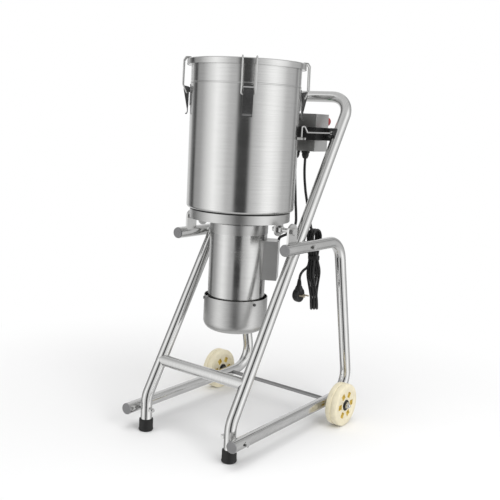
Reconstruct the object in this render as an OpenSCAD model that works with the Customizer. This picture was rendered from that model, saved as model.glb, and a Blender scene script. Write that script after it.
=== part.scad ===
// Tilting vertical food mill: a deep stainless barrel on a direct-drive motor,
// hung between two pivots on a wheeled tube trolley.
// +Z up, feet and latch handles towards -Y, wheels and push handle towards +Y.
// The origin is on the floor, under the middle of the object.

/* [Trolley] */
// Outer diameter of the frame tube
tube_d = 32; // [28:1:34]
// Wall of the frame tube
tube_wall = 2; // [1.5:0.5:3]
// Half distance between the two leg tubes, centre to centre
leg_x = 149; // [149:1:152]
// Half distance between the two side frames, centre to centre
side_x = 186; // [186:1:190]
// Distance from the floor to the centre of the push handle
handle_z = 951; // [930:1:970]
// Lean of the legs from upright
leg_lean = 30.5; // [30:0.5:31]
// Height of the top side rail centre
top_rail_z = 542; // [540:1:544]
// Centre-line radius of the frame bends
bend_r = 65; // [60:1:66]

/* [Wheels] */
// Wheel diameter
wheel_d = 125; // [120:1:126]
// Wheel width
wheel_w = 36; // [34:1:38]
// Axle diameter
axle_d = 12; // [10:1:12]

/* [Barrel] */
// Outer diameter of the barrel
barrel_d = 296; // [290:1:298]
// Sheet thickness of the barrel
barrel_wall = 1.5; // [1:0.5:2]
// Height of the tilt axis above the floor
pivot_z = 588; // [586:1:590]
// Height of the barrel floor
barrel_z0 = 630; // [629:1:631]
// Height of the barrel flange
flange_z = 1008.5; // [1006:0.5:1010]
// Outer diameter of the lid
lid_d = 320; // [318:1:322]

/* [Motor] */
// Outer diameter of the motor shell
motor_d = 159; // [156:1:162]
// Outer diameter of the fan cover
cover_d = 178; // [176:1:180]
// Height of the lowest point of the fan cover
cover_z0 = 290; // [286:1:292]

/* [Controls] */
// Width of the control box
box_w = 210; // [200:2:212]
// Diameter of a push button
button_d = 26; // [22:1:28]
// Diameter of the mains cord
cord_d = 7.5; // [6:0.5:8]

/* [Hidden] */
$fn = 64;

// Trolley places
tube_r = tube_d / 2;
foot_y = -245;
leg_bend_z = 98;
cap_t = 2.7;
rail_front_y = -285;
rail_rear_y = 288;
top_front_y = -98.3;
top_rear_y = 180;
foot_h = 34;
wheel_r = wheel_d / 2;
wheel_x = 232;
wheel_y = 177;
crossbar_z = 192;
rail_z = wheel_r;
bolt_d = 8;
fit = 0.05;
function leg_y(z) = foot_y + (z - leg_bend_z) * tan(leg_lean);
handle_y = leg_y(handle_z);

// Tilting assembly places
pivot_y = -54;
pivot_d = 12;
barrel_r = barrel_d / 2;
lid_r = lid_d / 2;
lid_top = flange_z + 15.5;
ring_r = 138;
ring_z0 = 602;
ring_z1 = 626;
deck_z = 612;
ear_x = 131.5;
collar_z0 = 565;
collar_z1 = 592;
motor_r = motor_d / 2;
cover_r = cover_d / 2;
cover_z1 = 386;
shell_z0 = 372;
shaft_r = 12.5;
latch_az = [39.5, 129.5, 219.5, 309.5];
hinge_r = 157;
hinge_z = 946;
bail_pin_r = 158;
bail_pin_z = 934;
pin_d = 4;
wire_d = 4;
bail_y = 18;

// Control box places
box_y0 = 142;
box_y1 = 210;
box_z0 = 792;
box_z1 = 898;
box_t = 1.5;
button_x = box_w / 2 - 17;
button_z = 878;
button_gap = 42;
mains_gland_x = 66;
lead_gland_x = 34;
gland_y = 158;
gland_z = 770;
strap_z0 = 824;
strap_z1 = 860;
hook_z = 846;
clamp_y = leg_y(hook_z);
clamp_r = tube_r + 3;
hook_x = 145;
hook_pin_y = clamp_y - clamp_r - 12;
catch_y = pivot_y + 64;
catch_z = 832;
hook_top_z = 861;
hook_d = 4;

// Route of the mains cord from its gland to the front of the hank
mains_route = [
  [66, 158, 770], [66, 158, 755], [67.5, 156, 740], [71.5, 151.5, 724], [77.5, 145, 708],
  [84.5, 138, 693], [92, 130.5, 678], [100, 123.5, 664], [108, 116.5, 650],
  [115.5, 110, 636], [123, 103.5, 623], [130, 97.5, 610.5], [137, 92, 599],
  [144, 87, 588], [150, 83, 576.5], [154.5, 80, 564], [157, 78, 551], [158, 77.5, 540]
];
// Route from the hank to the plug
tail_route = [
  [139.5, 80, 462], [138.5, 74.5, 460], [137.2, 66.5, 454.5], [136.3, 60.5, 446.5],
  [136, 58.5, 437]
];
// Route of the motor lead from the control box, past the pivot, to the terminal box
lead_route = [
  [34, 158, 770], [34, 158, 752], [36, 155, 733], [41, 149.5, 712], [48, 142, 690],
  [57, 132, 668], [67, 120, 646], [78, 107, 627], [89, 93, 611], [99, 79, 598],
  [107, 64, 588], [111.5, 48, 579], [112, 33, 571], [108.5, 20, 565], [103.5, 9, 561],
  [99.5, 1.5, 556.5], [98.6, -1.5, 549.8]
];
hank_top = [146.5, 98, 580];
hank_bottom = [158.5, 112, 345];
hank_w = 49;
hank_t = 31;
screw_az = -17.4;
plug_top = [136, 58.5, 437];

// Small helpers
function unit(v) = v / norm(v);
function side_of(d) = abs(d.z) < 0.9 ? unit(cross([0, 0, 1], d)) : unit(cross([0, 1, 0], d));
function frame_at(p, e1, e2, e3) = [
  [e1.x, e2.x, e3.x, p.x],
  [e1.y, e2.y, e3.y, p.y],
  [e1.z, e2.z, e3.z, p.z],
  [0, 0, 0, 1]
];
function turn(a, b) = acos(max(-1, min(1, a * b)));

// Places children with their Z axis along d, starting at p
module along(p, d) {
  e1 = side_of(d);
  multmatrix(frame_at(p, e1, cross(d, e1), d)) children();
}

// A round rod lying along X from x0 to x1
module rod_x(x0, x1, y, z, d) {
  translate([x0, y, z]) rotate([0, 90, 0]) cylinder(h = x1 - x0, d = d);
}

// Sweeps: a route is a list of [point, tangent]; each ring's frame is carried on from the last
function carry(e, t) = unit(e - (e * t) * t);
function carried(route, i) =
  i == 0 ? side_of(route[0][1]) : carry(carried(route, i - 1), route[i][1]);
function rings(route, r, sides) = [
  for (i = [0 : len(route) - 1])
    let (a = carried(route, i), b = cross(route[i][1], a))
      for (k = [0 : sides - 1])
        route[i][0] + r * (cos(k * 360 / sides) * a + sin(k * 360 / sides) * b)
];
function skin(n, sides, first) = [
  for (i = [0 : n - 2]) for (k = [0 : sides - 1])
    let (m = (k + 1) % sides, p = first + i * sides, q = p + sides)
      [p + k, q + k, q + m, p + m]
];
function flipped(faces) = [for (f = faces) [for (i = [len(f) - 1 : -1 : 0]) f[i]]];

// Route along hand-chosen points, with tangents across the neighbouring points
function smooth_route(p) = [
  for (i = [0 : len(p) - 1]) [p[i], unit(p[min(i + 1, len(p) - 1)] - p[max(i - 1, 0)])]
];

// Route of a bent tube: straight runs, and an arc of radius bend at each inner point
function bend_arc(a, p, c, bend, steps) =
  let (
    d1 = unit(p - a), d2 = unit(c - p), angle = turn(d1, d2), n = unit(cross(d1, d2)),
    u = cross(d1, n), centre = p - d1 * bend * tan(angle / 2) - u * bend
  ) [
    for (k = [0 : steps])
      let (w = angle * k / steps)
        [centre + bend * (u * cos(w) + d1 * sin(w)), d1 * cos(w) - u * sin(w)]
  ];
function bent_route(p, bend, step) = [
  [p[0], unit(p[1] - p[0])],
  for (i = [1 : len(p) - 2])
    let (angle = turn(unit(p[i] - p[i - 1]), unit(p[i + 1] - p[i])))
      each bend_arc(p[i - 1], p[i], p[i + 1], bend, ceil(angle / step)),
  [p[len(p) - 1], unit(p[len(p) - 1] - p[len(p) - 2])]
];

// Solid round rod swept along a route
module swept_rod(route, d, sides) {
  n = len(route);
  start = [[for (k = [0 : sides - 1]) k]];
  end = [[for (k = [sides - 1 : -1 : 0]) (n - 1) * sides + k]];
  polyhedron(
    points = rings(route, d / 2, sides),
    faces = concat(skin(n, sides, 0), start, end)
  );
}

module cord(points, d) {
  swept_rod(smooth_route(points), d, 8);
}
module bent_wire(path, bend, d) {
  swept_rod(bent_route(path, bend, 23), d, 10);
}

// Hollow tube swept along a bent path
module bent_tube(path, bend, r, wall, sides = 24) {
  route = bent_route(path, bend, 9);
  n = len(route);
  inner = n * sides;
  last = (n - 1) * sides;
  start = [
    for (k = [0 : sides - 1]) let (m = (k + 1) % sides) [k, m, inner + m, inner + k]
  ];
  end = [
    for (k = [0 : sides - 1]) let (m = (k + 1) % sides)
      [last + m, last + k, inner + last + k, inner + last + m]
  ];
  polyhedron(
    points = concat(rings(route, r, sides), rings(route, r - wall, sides)),
    faces = concat(skin(n, sides, 0), flipped(skin(n, sides, inner)), start, end)
  );
}

// Places children on the tilting assembly: X outwards at azimuth a, origin on its axis
module on_axis() {
  translate([0, pivot_y, 0]) children();
}
module at_azimuth(a) {
  on_axis() rotate([0, 0, a - 90]) children();
}
module both_sides() {
  children();
  mirror([1, 0, 0]) children();
}

// Hexagon across flats af, with its axis along X, from x0 to x1
module hex_x(x0, x1, y, z, af) {
  translate([x0, y, z]) rotate([0, 90, 0]) cylinder(h = x1 - x0, d = af / cos(30), $fn = 6);
}

// --- Trolley ---------------------------------------------------------------

module handle_frame() {
  leg = [
    [leg_x, foot_y, 6],
    [leg_x, foot_y, leg_bend_z],
    [leg_x, handle_y, handle_z],
    [-leg_x, handle_y, handle_z],
    [-leg_x, foot_y, leg_bend_z],
    [-leg_x, foot_y, 6]
  ];
  color("silver") bent_tube(leg, bend_r, tube_r, tube_wall);
}

module front_crossbar() {
  y = leg_y(crossbar_z);
  color("silver") difference() {
    rod_x(-leg_x, leg_x, y, crossbar_z, tube_d);
    rod_x(-leg_x - 1, leg_x + 1, y, crossbar_z, tube_d - 2 * tube_wall);
    both_sides()
      along([leg_x, leg_y(crossbar_z - 60), crossbar_z - 60], [0, sin(leg_lean), cos(leg_lean)])
        cylinder(h = 160, r = tube_r);
  }
}

module side_frame() {
  path = [
    [side_x, rail_front_y, rail_z],
    [side_x, rail_rear_y, rail_z],
    [side_x, top_rear_y, top_rail_z],
    [side_x, top_front_y, top_rail_z]
  ];
  bent_tube(path, bend_r, tube_r, tube_wall);
}

module side_frame_right() {
  color("silver") side_frame();
}

module side_frame_left() {
  color("silver") mirror([1, 0, 0]) side_frame();
}

// One plastic plug closing a tube end that looks towards -Y
module tube_cap(y, z) {
  translate([side_x, y, z]) rotate([90, 0, 0]) {
    cylinder(h = cap_t, r1 = tube_r, r2 = tube_r - 1);
    translate([0, 0, -14]) cylinder(h = 14, r = tube_r - tube_wall);
  }
}

module tube_caps() {
  color("dimgray") both_sides() {
    tube_cap(rail_front_y, rail_z);
    tube_cap(top_front_y, top_rail_z);
  }
}

module rubber_feet() {
  color("#1b1b1b") both_sides() translate([leg_x, foot_y, 0]) difference() {
    union() {
      cylinder(h = 5, r1 = tube_r + 3.5, r2 = tube_r + 4.5);
      translate([0, 0, 5]) cylinder(h = foot_h - 5, r = tube_r + 3.5);
    }
    translate([0, 0, 6]) cylinder(h = foot_h, r = tube_r);
  }
}

module frame_bolt(y, z) {
  hex_x(side_x + tube_r, side_x + tube_r + 5.5, y, z, 13);
  rod_x(leg_x - tube_r - 12, side_x + tube_r, y, z, bolt_d);
}

module frame_bolts() {
  color("gainsboro") both_sides() {
    frame_bolt(foot_y, rail_z);
    frame_bolt(leg_y(top_rail_z), top_rail_z);
  }
}

module frame_nut(y, z) {
  x0 = leg_x - tube_r - 7;
  difference() {
    hex_x(x0, leg_x - tube_r, y, z, 13);
    rod_x(x0 - 1, leg_x, y, z, bolt_d);
  }
}

module frame_nuts() {
  color("gainsboro") both_sides() {
    frame_nut(foot_y, rail_z);
    frame_nut(leg_y(top_rail_z), top_rail_z);
  }
}

module frame_spacer(y, z) {
  difference() {
    rod_x(leg_x + tube_r - 1.2, side_x - tube_r + 1.2, y, z, 16);
    rod_x(leg_x, side_x, y, z, bolt_d);
    translate([side_x, y - 20, z]) rotate([-90, 0, 0]) cylinder(h = 40, r = tube_r);
    if (z < leg_bend_z) translate([leg_x, y, z - 20]) cylinder(h = 40, r = tube_r);
    if (z > leg_bend_z)
      along([leg_x, leg_y(z - 20), z - 20], [0, sin(leg_lean), cos(leg_lean)])
        cylinder(h = 60, r = tube_r);
  }
}

module frame_spacers() {
  color("gainsboro") both_sides() {
    frame_spacer(foot_y, rail_z);
    frame_spacer(leg_y(top_rail_z), top_rail_z);
  }
}

// --- Wheels ----------------------------------------------------------------

axle_end = wheel_x + wheel_w / 2 + 5;

// Axle rod with a spacer shoulder between each side frame and its wheel
module axle() {
  color("gainsboro") {
    rod_x(-axle_end, axle_end, wheel_y, wheel_r, axle_d);
    both_sides() difference() {
      rod_x(side_x + 9, wheel_x - wheel_w / 2 - 1, wheel_y, wheel_r, 18);
      translate([side_x, wheel_y - 20, rail_z]) rotate([-90, 0, 0])
        cylinder(h = 40, r = tube_r);
    }
  }
}

// Acorn nut on each axle end
module axle_nuts() {
  x0 = wheel_x + wheel_w / 2 + 1;
  color("gainsboro") both_sides() difference() {
    union() {
      hex_x(x0, x0 + 5, wheel_y, wheel_r, 18);
      translate([x0 + 5, wheel_y, wheel_r]) sphere(d = 15);
    }
    rod_x(x0 - 5, axle_end, wheel_y, wheel_r, axle_d);
    rod_x(x0 - 20, x0, wheel_y, wheel_r, 30);
  }
}

// Nylon tyre and rim, with a groove round the tread and six pockets in the outer face
module wheel() {
  translate([wheel_x, wheel_y, wheel_r]) rotate([0, 90, 0]) difference() {
    rotate_extrude($fn = 96) polygon([
      [16, -wheel_w / 2 + 2], [44, -wheel_w / 2 + 2], [47, -wheel_w / 2], [58, -wheel_w / 2],
      [wheel_r, -wheel_w / 2 + 4.5], [wheel_r, -3], [wheel_r - 2, -2], [wheel_r - 2, 2],
      [wheel_r, 3], [wheel_r, wheel_w / 2 - 4.5], [58, wheel_w / 2], [47, wheel_w / 2],
      [44, wheel_w / 2 - 2], [16, wheel_w / 2 - 2]
    ]);
    for (k = [0 : 5]) rotate([0, 0, k * 60 + 30]) translate([26, -6, wheel_w / 2 - 12])
      cube([13, 12, 20]);
    for (k = [0 : 5]) rotate([0, 0, k * 60 + 30]) translate([26, -6, -wheel_w / 2 - 8])
      cube([13, 12, 20]);
  }
}

module wheel_right() {
  color("#e1d7b4") wheel();
}

module wheel_left() {
  color("#e1d7b4") mirror([1, 0, 0]) wheel();
}

// Black hub bush pressed into the wheel, running on the axle
module hub() {
  difference() {
    union() {
      rod_x(wheel_x - wheel_w / 2, wheel_x + wheel_w / 2, wheel_y, wheel_r, 32);
      rod_x(wheel_x - wheel_w / 2 - 0.8, wheel_x + wheel_w / 2 + 0.8, wheel_y, wheel_r, 20);
    }
    rod_x(wheel_x - 30, wheel_x + 30, wheel_y, wheel_r, axle_d + 2 * fit);
  }
}

module hub_right() {
  color("#222222") hub();
}

module hub_left() {
  color("#222222") mirror([1, 0, 0]) hub();
}

// --- Pivots ----------------------------------------------------------------

lug_t = 6;
lug_x = side_x - 10;
lug_r = 20;

// Upright lug welded on each top rail
module pivot_lugs() {
  x0 = lug_x - lug_t / 2;
  color("silver") both_sides() difference() {
    union() {
      rod_x(x0, x0 + lug_t, pivot_y, pivot_z, 2 * lug_r);
      translate([x0, pivot_y - lug_r, top_rail_z + 6])
        cube([lug_t, 2 * lug_r, pivot_z - top_rail_z - 6]);
    }
    rod_x(x0 - 1, x0 + lug_t + 1, pivot_y, pivot_z, pivot_d);
    translate([side_x, pivot_y - 30, top_rail_z]) rotate([-90, 0, 0])
      cylinder(h = 60, r = tube_r);
  }
}

// Long hex bolt through the lug and the ear of the support ring
module pivot_bolts() {
  x1 = lug_x + lug_t / 2;
  color("gainsboro") both_sides() {
    hex_x(x1, x1 + 7.5, pivot_y, pivot_z, 19);
    rod_x(ear_x - 17, x1, pivot_y, pivot_z, pivot_d);
  }
}

// Lock nut outside each ear
module pivot_nuts() {
  x0 = ear_x + 4.3;
  color("gainsboro") both_sides() difference() {
    hex_x(x0, x0 + 9, pivot_y, pivot_z, 19);
    rod_x(x0 - 1, x0 + 10, pivot_y, pivot_z, pivot_d);
  }
}

// --- Tilting assembly ------------------------------------------------------

// Skirted deck under the barrel, with an ear down each side for the pivot
module support_ring() {
  color("silver") on_axis() difference() {
    union() {
      rotate_extrude($fn = 128) polygon([
        [52, deck_z], [ring_r - 1.5, deck_z], [ring_r - 1.5, ring_z0], [ring_r, ring_z0],
        [ring_r, ring_z1], [ring_r - 8, ring_z1], [ring_r - 8, ring_z1 - 1.5],
        [ring_r - 1.5, ring_z1 - 1.5], [ring_r - 1.5, deck_z + 4], [52, deck_z + 4]
      ]);
      both_sides() {
        rod_x(ear_x - 3, ear_x + 3, 0, pivot_z, 36);
        translate([ear_x - 3, -18, pivot_z]) cube([6, 36, deck_z - pivot_z + 1]);
      }
    }
    both_sides() rod_x(ear_x - 5, ear_x + 5, 0, pivot_z, pivot_d + 2 * fit);
    for (k = [0 : 3]) rotate([0, 0, 45 + 90 * k]) translate([66, 0, deck_z - 5])
      cylinder(h = 20, d = 8);
  }
}

// Four spacer posts between the motor collar and the deck
module standoffs() {
  color("gainsboro") on_axis() for (k = [0 : 3]) rotate([0, 0, 45 + 90 * k])
    translate([66, 0, 0]) {
      translate([0, 0, collar_z1]) cylinder(h = deck_z - collar_z1, d = 14);
      translate([0, 0, deck_z]) cylinder(h = 4, d = 8);
      translate([0, 0, deck_z + 4]) cylinder(h = 5.5, d = 13 / cos(30), $fn = 6);
    }
}

// Rubber ring between the deck and the barrel floor
module seat_gasket() {
  color("#2a2a2a") on_axis() rotate_extrude($fn = 96) polygon([
    [ring_r - 8, ring_z1], [ring_r - 1, ring_z1], [ring_r - 1, barrel_z0],
    [ring_r - 8, barrel_z0]
  ]);
}

// Deep-drawn barrel with a rounded floor corner, a swage and an outward flange
module barrel() {
  r = barrel_r;
  t = barrel_wall;
  color("silver") on_axis() difference() {
    rotate_extrude($fn = 128) difference() {
      union() {
        translate([0, barrel_z0]) square([r - 8, flange_z + 2 - barrel_z0]);
        translate([0, barrel_z0 + 8]) square([r, flange_z + 2 - barrel_z0 - 8]);
        intersection() {
          translate([r - 8, barrel_z0 + 8]) circle(8);
          square([r, barrel_z0 + 8]);
        }
        translate([0, flange_z]) square([r + 9, 2]);
        intersection() {
          translate([r - 1, flange_z - 46]) circle(2.2);
          translate([0, flange_z - 60]) square([r + 5, 40]);
        }
      }
      translate([0, barrel_z0 + t]) square([r - 8 - t, flange_z]);
      translate([0, barrel_z0 + 8 + t]) square([r - t, flange_z]);
      intersection() {
        translate([r - 8 - t, barrel_z0 + 8 + t]) circle(8);
        square([r - t, barrel_z0 + 8 + t]);
      }
    }
    translate([0, 0, barrel_z0 - 5]) cylinder(h = 12, r = 26);
  }
}

// Pressed lid: recessed panel, flat rim and a skirt over the barrel flange
module lid() {
  color("silver") on_axis() rotate_extrude($fn = 128) polygon([
    [0, lid_top - 10], [142, lid_top - 10], [142, lid_top - 1.5], [145, lid_top - 1.5],
    [lid_r - 1.5, lid_top - 1.5], [lid_r - 1.5, flange_z], [lid_r, flange_z],
    [lid_r, lid_top - 2], [lid_r - 2, lid_top], [143.5, lid_top], [140.5, lid_top - 1],
    [140.5, lid_top - 8.5], [0, lid_top - 8.5]
  ]);
}

// Silicone seal in the lid rim
module lid_gasket() {
  color("whitesmoke") on_axis() rotate_extrude($fn = 96) polygon([
    [149, flange_z + 2], [157, flange_z + 2], [157, lid_top - 1.5], [149, lid_top - 1.5]
  ]);
}

// --- Latches ---------------------------------------------------------------

// Base plates with two ears each, welded on the barrel wall
module latch_base() {
  difference() {
    union() {
      translate([barrel_r - 4, -12, hinge_z - 44]) cube([5.5, 24, 56]);
      for (y = [-9, 7]) translate([0, y + 2, 0]) rotate([90, 0, 0]) linear_extrude(2)
        polygon([
          [barrel_r - 2, hinge_z - 12], [hinge_r + 2, hinge_z - 5],
          [hinge_r + 4.5, hinge_z - 2], [hinge_r + 4.5, hinge_z + 2],
          [hinge_r + 2, hinge_z + 3.5], [barrel_r - 2, hinge_z + 3.5]
        ]);
    }
    translate([0, 0, hinge_z - 60]) cylinder(h = 90, r = barrel_r + 0.6, $fn = 256);
    translate([hinge_r, 20, hinge_z]) rotate([90, 0, 0]) cylinder(h = 40, d = pin_d);
  }
}

module latch_bases() {
  color("silver") for (a = latch_az) at_azimuth(a) latch_base();
}

module latch_pins() {
  color("gainsboro") for (a = latch_az) at_azimuth(a)
    translate([hinge_r, 13.5, hinge_z]) rotate([90, 0, 0]) cylinder(h = 27, d = pin_d);
}

// Folded lever: two side flanges and a front web that tapers to a curled lip
module lever(a) {
  outline = [
    [152.5, 938], [152.5, 951], [164, 953], [166.5, 950], [166.5, 944], [156, 892],
    [155.5, 886], [157, 882], [160, 881], [160, 878.5], [156.5, 878.5], [153.6, 884.5],
    [153.6, 892]
  ];
  color("silver") at_azimuth(a) difference() {
    translate([0, 13, 0]) rotate([90, 0, 0]) linear_extrude(26) polygon(outline);
    translate([0, 11.5, 0]) rotate([90, 0, 0]) linear_extrude(23) polygon([
      [140, 897], [155.3, 897], [164.9, 944.3], [164.9, 949.5], [162, 956], [140, 956]
    ]);
    translate([hinge_r, 20, hinge_z]) rotate([90, 0, 0])
      cylinder(h = 40, d = pin_d + 2 * fit);
    translate([bail_pin_r, 20, bail_pin_z]) rotate([90, 0, 0])
      cylinder(h = 40, d = wire_d + 2 * fit);
  }
}

// Bent wire that hooks over the lid rim, with its two ends in the lever
module bail(a) {
  top = lid_top + 1.2 + wire_d / 2;
  half = [
    [bail_pin_r, 10.5, bail_pin_z], [bail_pin_r, bail_y, bail_pin_z],
    [168.5, bail_y, bail_pin_z + 22], [168.5, bail_y, top], [155.5, bail_y, top]
  ];
  other = [for (i = [4 : -1 : 0]) [half[i].x, -half[i].y, half[i].z]];
  color("gainsboro") at_azimuth(a) bent_wire(concat(half, other), 5, wire_d);
}

module lever_front_right() { lever(latch_az[0]); }
module lever_rear_right() { lever(latch_az[1]); }
module lever_rear_left() { lever(latch_az[2]); }
module lever_front_left() { lever(latch_az[3]); }
module bail_front_right() { bail(latch_az[0]); }
module bail_rear_right() { bail(latch_az[1]); }
module bail_rear_left() { bail(latch_az[2]); }
module bail_front_left() { bail(latch_az[3]); }

// --- Motor and blades ------------------------------------------------------

// Flanged seal housing in the barrel floor
module shaft_seal() {
  color("#333333") on_axis() difference() {
    union() {
      translate([0, 0, barrel_z0 - 6]) cylinder(h = 12, r = 26);
      translate([0, 0, barrel_z0 + barrel_wall]) cylinder(h = 5, r = 34);
    }
    translate([0, 0, barrel_z0 - 20]) cylinder(h = 40, r = shaft_r + 0.1);
  }
}

// Upper end bell of the motor, satin finished
module motor_collar() {
  color("lightgray") on_axis() difference() {
    translate([0, 0, collar_z0]) cylinder(h = collar_z1 - collar_z0, r = motor_r + 0.8);
    translate([0, 0, collar_z0 - 1]) cylinder(h = 16, r = motor_r - 8);
    translate([0, 0, collar_z0 + 10]) cylinder(h = 12, r = 24);
    translate([0, 0, collar_z0 + 10]) cylinder(h = 40, r = shaft_r + 1);
  }
}

module motor_shell() {
  color("silver") on_axis() {
    difference() {
      translate([0, 0, shell_z0]) cylinder(h = collar_z0 - shell_z0, r = motor_r);
      translate([0, 0, shell_z0 + 10]) cylinder(h = collar_z0, r = motor_r - 2);
      translate([0, 0, shell_z0 + 4]) cylinder(h = 30, r = 21);
      translate([0, 0, shell_z0 - 1]) cylinder(h = 40, r = shaft_r + 1);
    }
    for (k = [0 : 2]) rotate([0, 0, screw_az + 120 * k]) difference() {
      translate([motor_r - 1, -6, shell_z0]) cube([cover_r - motor_r - 1.4, 12, 8]);
      translate([motor_r + 0.5, 0, 376]) rotate([0, 90, 0]) cylinder(h = 20, d = 4);
    }
  }
}

// Wound stator core inside the shell
module stator() {
  color("#8a5a32") on_axis() difference() {
    translate([0, 0, 410]) cylinder(h = 120, r = motor_r - 2);
    translate([0, 0, 400]) cylinder(h = 140, r = 43);
  }
}

// Ball bearings at both ends of the shaft
module motor_bearings() {
  color("gray") on_axis() {
    difference() {
      translate([0, 0, collar_z0 + 10]) cylinder(h = 12, r = 24);
      translate([0, 0, collar_z0]) cylinder(h = 40, r = shaft_r + fit);
    }
    difference() {
      translate([0, 0, shell_z0 + 4]) cylinder(h = 6, r = 21);
      translate([0, 0, shell_z0]) cylinder(h = 20, r = shaft_r + fit);
    }
  }
}

// Motor shaft with its rotor core, running up through the barrel floor
module rotor_shaft() {
  color("silver") on_axis() {
    translate([0, 0, 312]) cylinder(h = 376, r = shaft_r);
    translate([0, 0, 415]) cylinder(h = 110, r = 42);
  }
}

// Two crossed blades with their bored hubs and a collar between
module blade_set() {
  color("gainsboro") on_axis() difference() {
    union() {
      for (k = [0, 1]) rotate([0, 0, 35 + 90 * k]) translate([0, 0, 650 + 18 * k])
        linear_extrude(4) union() {
          translate([-70, -9]) square([140, 18]);
          for (s = [0, 180]) rotate(s) polygon([
            [60, -9], [112, -12], [128, 4], [118, 9], [60, 9]
          ]);
        }
      translate([0, 0, 646]) cylinder(h = 32, r = 21);
    }
    translate([0, 0, 640]) cylinder(h = 50, r = shaft_r);
  }
}

module blade_nut() {
  color("gainsboro") on_axis() difference() {
    union() {
      translate([0, 0, 678]) cylinder(h = 12, d = 34, $fn = 6);
      translate([0, 0, 690]) sphere(r = 14);
    }
    translate([0, 0, 670]) cylinder(h = 18, r = shaft_r);
    translate([0, 0, 660]) cylinder(h = 18, r = 30);
  }
}

// Seven-bladed cooling fan on the lower shaft end
module cooling_fan() {
  color("#303030") on_axis() difference() {
    union() {
      translate([0, 0, 322]) cylinder(h = 26, r = 22);
      translate([0, 0, 322]) cylinder(h = 3, r = 66);
      for (k = [0 : 6]) rotate([0, 0, k * 360 / 7]) translate([18, -1.5, 322])
        cube([46, 3, 26]);
    }
    translate([0, 0, 300]) cylinder(h = 60, r = shaft_r);
  }
}

// Bowl-shaped fan cover with round vents in its floor
module fan_cover() {
  r = cover_r;
  z0 = cover_z0;
  corner = 26;
  color("silver") on_axis() difference() {
    rotate_extrude($fn = 128) difference() {
      union() {
        translate([0, z0]) square([r - corner, cover_z1 - z0]);
        translate([0, z0 + corner]) square([r, cover_z1 - z0 - corner]);
        intersection() {
          translate([r - corner, z0 + corner]) circle(corner);
          square([r, z0 + corner]);
        }
      }
      translate([0, z0 + 1.5]) square([r - corner, 200]);
      translate([0, z0 + corner]) square([r - 1.5, 200]);
      intersection() {
        translate([r - corner, z0 + corner]) circle(corner - 1.5);
        square([r, z0 + corner]);
      }
    }
    for (k = [0 : 7]) rotate([0, 0, k * 45]) translate([40, 0, z0 - 5]) cylinder(h = 12, d = 14);
    translate([0, 0, z0 - 5]) cylinder(h = 12, d = 20);
    for (k = [0 : 2]) rotate([0, 0, screw_az + 120 * k]) translate([r - 10, 0, 376])
      rotate([0, 90, 0]) cylinder(h = 20, d = 4);
  }
}

module cover_screws() {
  color("#555555") on_axis() for (k = [0 : 2]) rotate([0, 0, screw_az + 120 * k])
    translate([cover_r - 7, 0, 376]) rotate([0, 90, 0]) {
      cylinder(h = 7, d = 4);
      translate([0, 0, 7]) cylinder(h = 2.2, d = 8);
    }
}

box_az = 120;
tbox_w = 62;
tbox_z0 = 440;
tbox_z1 = 548;

// Capacitor and terminal box on the side of the motor
module terminal_box() {
  color("lightgray") difference() {
    at_azimuth(box_az) translate([motor_r - 12, -tbox_w / 2, tbox_z0])
      cube([112 - motor_r, tbox_w, tbox_z1 - tbox_z0]);
    at_azimuth(box_az) translate([motor_r + 4, -tbox_w / 2 + 2, tbox_z0 + 2])
      cube([40, tbox_w - 4, tbox_z1 - tbox_z0 - 4]);
    on_axis() translate([0, 0, 400]) cylinder(h = 160, r = motor_r);
  }
}

module terminal_cover() {
  color("silver") at_azimuth(box_az) translate([100, -tbox_w / 2, tbox_z0])
    cube([13, tbox_w, tbox_z1 - tbox_z0]);
}

// --- Controls --------------------------------------------------------------

module control_box() {
  w = box_w;
  color("lightgray") difference() {
    translate([-w / 2, box_y0, box_z0]) cube([w, box_y1 - 14 - box_y0, box_z1 - box_z0]);
    translate([-w / 2 + box_t, box_y0 + box_t, box_z0 + box_t])
      cube([w - 2 * box_t, 200, box_z1 - box_z0 - 2 * box_t]);
    for (x = [mains_gland_x, lead_gland_x]) translate([x, gland_y, box_z0 - 5])
      cylinder(h = 10, d = 12);
  }
}

// Rear cover with the two button holes
module control_cover() {
  w = box_w;
  color("gainsboro") difference() {
    translate([-w / 2, box_y1 - 14, box_z0]) cube([w, 14, box_z1 - box_z0]);
    translate([-w / 2 + box_t, box_y1 - 20, box_z0 + box_t])
      cube([w - 2 * box_t, 18.5, box_z1 - box_z0 - 2 * box_t]);
    for (k = [0, 1]) translate([button_x - k * button_gap, box_y1 - 10, button_z])
      rotate([-90, 0, 0]) cylinder(h = 20, d = button_d - 4);
  }
}

// Dark strap round the front and sides of the box, welded on the left leg and held
// under the hook clamp on the right leg
module box_strap() {
  h = strap_z1 - strap_z0;
  x0 = box_w / 2;
  d = [0, sin(leg_lean), cos(leg_lean)];
  color("#2b2b2b") difference() {
    union() {
      translate([-x0 - 3, box_y0 - 3, strap_z0]) cube([2 * x0 + 6, 3, h]);
      for (x = [-x0 - 3, x0]) translate([x, box_y0 - 3, strap_z0]) cube([3, 48, h]);
      translate([-leg_x, box_y0 + 42, strap_z0]) cube([leg_x - x0, 3, h]);
      translate([x0, box_y0 + 42, strap_z0]) cube([leg_x - x0, 3, h]);
    }
    along([-leg_x, leg_y(700), 700], d) cylinder(h = 300, r = tube_r);
    along([leg_x, leg_y(700), 700], d) cylinder(h = 300, r = clamp_r + 0.1);
  }
}

// Guarded push button: the head slides in the bezel of the cover
module button(k) {
  x = button_x - k * button_gap;
  translate([x, box_y1, button_z]) rotate([-90, 0, 0]) {
    translate([0, 0, -16]) cylinder(h = 22, d = button_d - 4 - 0.2);
    translate([0, 0, 6]) cylinder(h = 14, d = button_d);
    translate([0, 0, 20]) cylinder(h = 4, d1 = button_d, d2 = button_d - 6);
  }
}

module stop_button() {
  color("red") button(0);
}

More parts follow.
